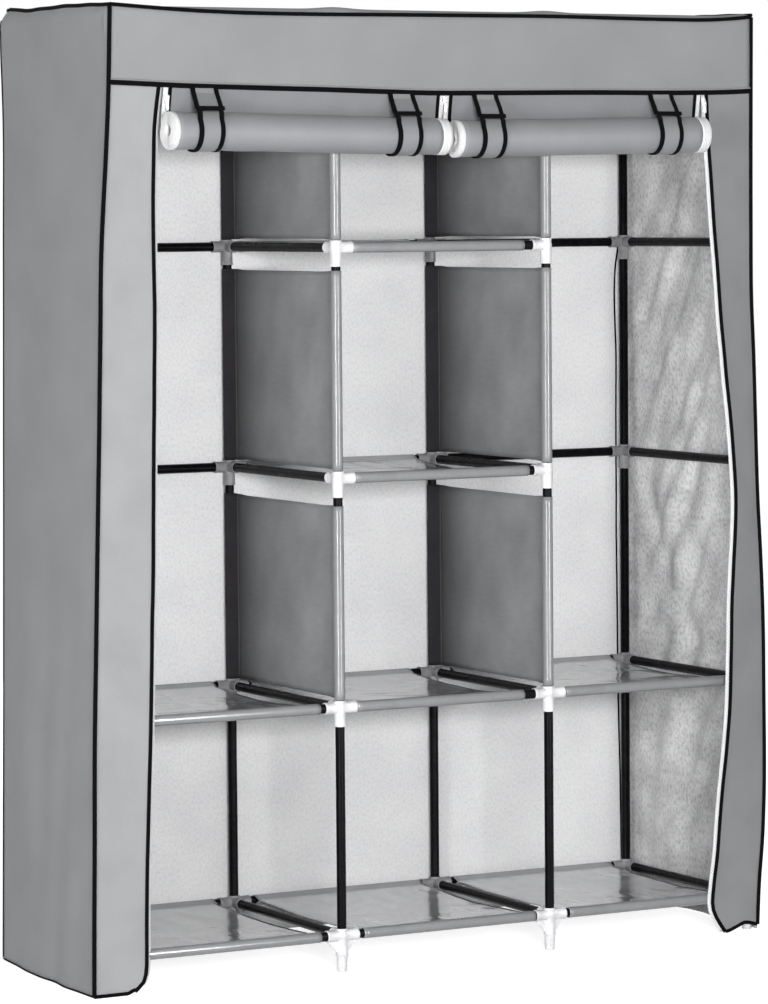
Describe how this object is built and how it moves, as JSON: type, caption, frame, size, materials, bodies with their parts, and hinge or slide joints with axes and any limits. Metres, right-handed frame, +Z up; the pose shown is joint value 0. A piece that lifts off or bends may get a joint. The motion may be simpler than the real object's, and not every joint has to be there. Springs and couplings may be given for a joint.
{
  "type": "portable fabric wardrobe",
  "caption": "Free-standing wardrobe: a tube and connector frame in a zipped fabric cover, with open shelves, hanging space and roll-up doors.",
  "frame": {"origin": "on the floor, under the middle of the outer box with the doors rolled up", "axes": "+Z up, -Y towards the open front, +X to the right as seen from the front"},
  "size_m": [1.311, 0.5244, 1.6258],
  "materials": {
    "steel_tube": "black coated tube, satin",
    "white_plastic": "milky moulded plastic",
    "cover_cloth": "grey nonwoven cloth, lighter inside",
    "shelf_cloth": "coated grey nonwoven cloth, slightly glossy",
    "divider_cloth": "dark grey nonwoven cloth",
    "zip_tape": "white woven tape",
    "zip_metal": "bright nickel"
  },
  "bodies": {
    "wardrobe": {"bottom_level_frame": "steel_tube", "first_level_frame": "steel_tube", "second_level_frame": "steel_tube", "third_level_frame": "steel_tube", "top_level_frame": "steel_tube", "post_front_left": "steel_tube", "post_front_inner_left": "steel_tube", "post_front_inner_right": "steel_tube", "post_front_right": "steel_tube", "post_back_left": "steel_tube", "post_back_inner_left": "steel_tube", "post_back_inner_right": "steel_tube", "post_back_right": "steel_tube", "foot_front_left": "white_plastic", "foot_front_inner_left": "white_plastic", "foot_front_inner_right": "white_plastic", "foot_front_right": "white_plastic", "foot_back_left": "white_plastic", "foot_back_inner_left": "white_plastic", "foot_back_inner_right": "white_plastic", "foot_back_right": "white_plastic", "hanging_rail_left": "steel_tube", "hanging_rail_right": "steel_tube", "bottom_shelf_left": "shelf_cloth", "bottom_shelf_middle": "shelf_cloth", "bottom_shelf_right": "shelf_cloth", "first_shelf_left": "shelf_cloth", "first_shelf_middle": "shelf_cloth", "first_shelf_right": "shelf_cloth", "second_shelf_middle": "shelf_cloth", "third_shelf_middle": "shelf_cloth", "lower_divider_left": "divider_cloth", "middle_divider_left": "divider_cloth", "upper_divider_left": "divider_cloth", "lower_divider_right": "divider_cloth", "middle_divider_right": "divider_cloth", "upper_divider_right": "divider_cloth", "cover_top": "cover_cloth", "cover_back": "cover_cloth", "cover_header": "cover_cloth", "cover_side_left": "cover_cloth", "cover_side_right": "cover_cloth", "front_strip_left": "cover_cloth", "front_strip_right": "cover_cloth", "zip_tape_left": "zip_tape", "zip_tape_right": "zip_tape", "door_flap_left": "cover_cloth", "door_flap_right": "cover_cloth", "door_strap_left_outer": "cover_cloth", "door_strap_left_inner": "cover_cloth", "door_strap_right_outer": "cover_cloth", "door_strap_right_inner": "cover_cloth"},
    "left_door": {"door_roll_left": "cover_cloth"},
    "right_door": {"door_roll_right": "cover_cloth"},
    "left_zip": {"zip_slider_left": "zip_metal"},
    "left_zip_pull": {"zip_pull_left": "zip_metal"},
    "centre_zip": {"zip_slider_centre": "zip_metal"},
    "centre_zip_pull": {"zip_pull_centre": "zip_metal"},
    "right_zip": {"zip_slider_right": "zip_metal"},
    "right_zip_pull": {"zip_pull_right": "zip_metal"}
  },
  "joints": [
    {"name": "left_door_lower", "type": "slide", "parent": "wardrobe", "child": "left_door", "axis": [0, 0, -1], "range_m": [0, 1.38], "deforming": ["door_flap_left", "door_strap_left_outer", "door_strap_left_inner"]},
    {"name": "right_door_lower", "type": "slide", "parent": "wardrobe", "child": "right_door", "axis": [0, 0, -1], "range_m": [0, 1.38], "deforming": ["door_flap_right", "door_strap_right_outer", "door_strap_right_inner"]},
    {"name": "left_zip_slide", "type": "slide", "parent": "wardrobe", "child": "left_zip", "axis": [-0.0247, 0, -0.9997], "range_m": [0, 1.45]},
    {"name": "left_zip_pull_swing", "type": "hinge", "parent": "left_zip", "child": "left_zip_pull", "pos_m": [-0.509, -0.18765, 1.4718], "axis": [-1, 0, 0], "range_deg": [0, 150]},
    {"name": "centre_zip_slide", "type": "slide", "parent": "wardrobe", "child": "centre_zip", "axis": [0, 0, -1], "range_m": [0, 1.45]},
    {"name": "centre_zip_pull_swing", "type": "hinge", "parent": "centre_zip", "child": "centre_zip_pull", "pos_m": [0.014, -0.18765, 1.4718], "axis": [-1, 0, 0], "range_deg": [0, 150]},
    {"name": "right_zip_slide", "type": "slide", "parent": "wardrobe", "child": "right_zip", "axis": [0.0074, 0, -1], "range_m": [0, 1.45]},
    {"name": "right_zip_pull_swing", "type": "hinge", "parent": "right_zip", "child": "right_zip_pull", "pos_m": [0.53434, -0.18765, 1.4718], "axis": [-1, 0, 0], "range_deg": [0, 150]}
  ]
}
